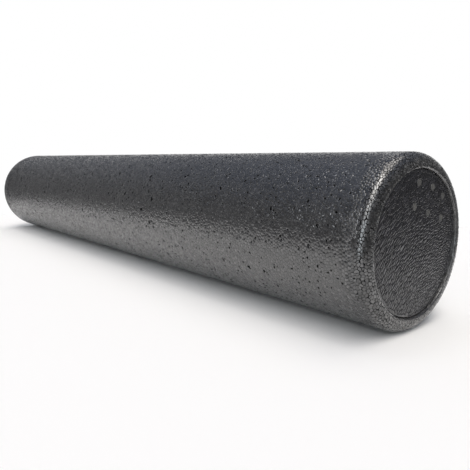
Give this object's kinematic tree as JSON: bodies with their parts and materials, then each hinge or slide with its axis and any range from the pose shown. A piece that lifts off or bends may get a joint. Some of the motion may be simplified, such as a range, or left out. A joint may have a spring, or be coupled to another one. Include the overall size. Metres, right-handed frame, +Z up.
{
  "type": "foam roller",
  "caption": "Long solid bead-foam massage roller with rounded end edges and a round end face sunk below the rim, lying on its side.",
  "frame": {"origin": "on the floor under the middle of the roller", "axes": "+X along the roller's axis towards the near end, +Z up, +Y across"},
  "size_m": [0.9144, 0.1524, 0.1524],
  "materials": {
    "barrel_foam": "black expanded polypropylene bead foam with a moulded skin, half glossy on the beads and dark in the pits between them",
    "disc_foam": "the same foam on the end faces, duller and finely wrinkled, with pale round vent marks"
  },
  "bodies": {
    "root": {"foam_body": "barrel_foam", "near_end_disc": "disc_foam", "far_end_disc": "disc_foam"}
  },
  "joints": []
}
